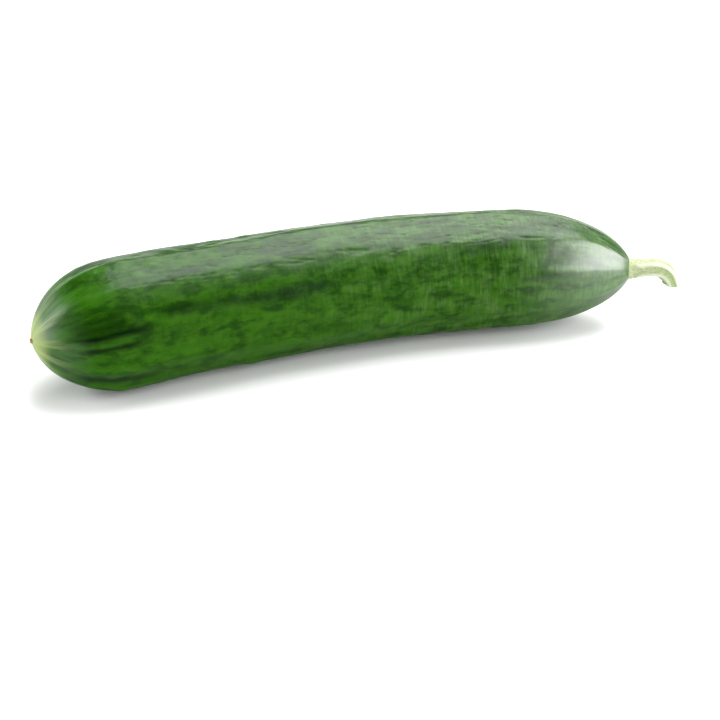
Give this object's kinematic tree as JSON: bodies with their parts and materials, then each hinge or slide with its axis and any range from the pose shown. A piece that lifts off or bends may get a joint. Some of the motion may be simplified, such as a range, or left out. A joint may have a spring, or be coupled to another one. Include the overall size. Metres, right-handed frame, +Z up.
{
  "type": "cucumber",
  "caption": "Whole green slicing cucumber lying on its side, gently bowed, with low ribs and warts, a cut green stalk and a corky blossom scar.",
  "frame": {"origin": "middle of the flat spot along the belly that the fruit rests on, under the middle of its axis", "axes": "+X from the blossom end towards the stem end, along the object's length; +Z up; the fruit bows towards +Y"},
  "size_m": [0.266, 0.0617, 0.0513],
  "materials": {
    "skin": "waxy dark green cucumber skin, satin gloss",
    "stalk": "pale yellow-green stalk, ridged and bristly, matt",
    "scar": "dry tan cork"
  },
  "bodies": {
    "root": {"fruit": "skin", "stem": "stalk", "blossom_scar": "scar"}
  },
  "joints": []
}
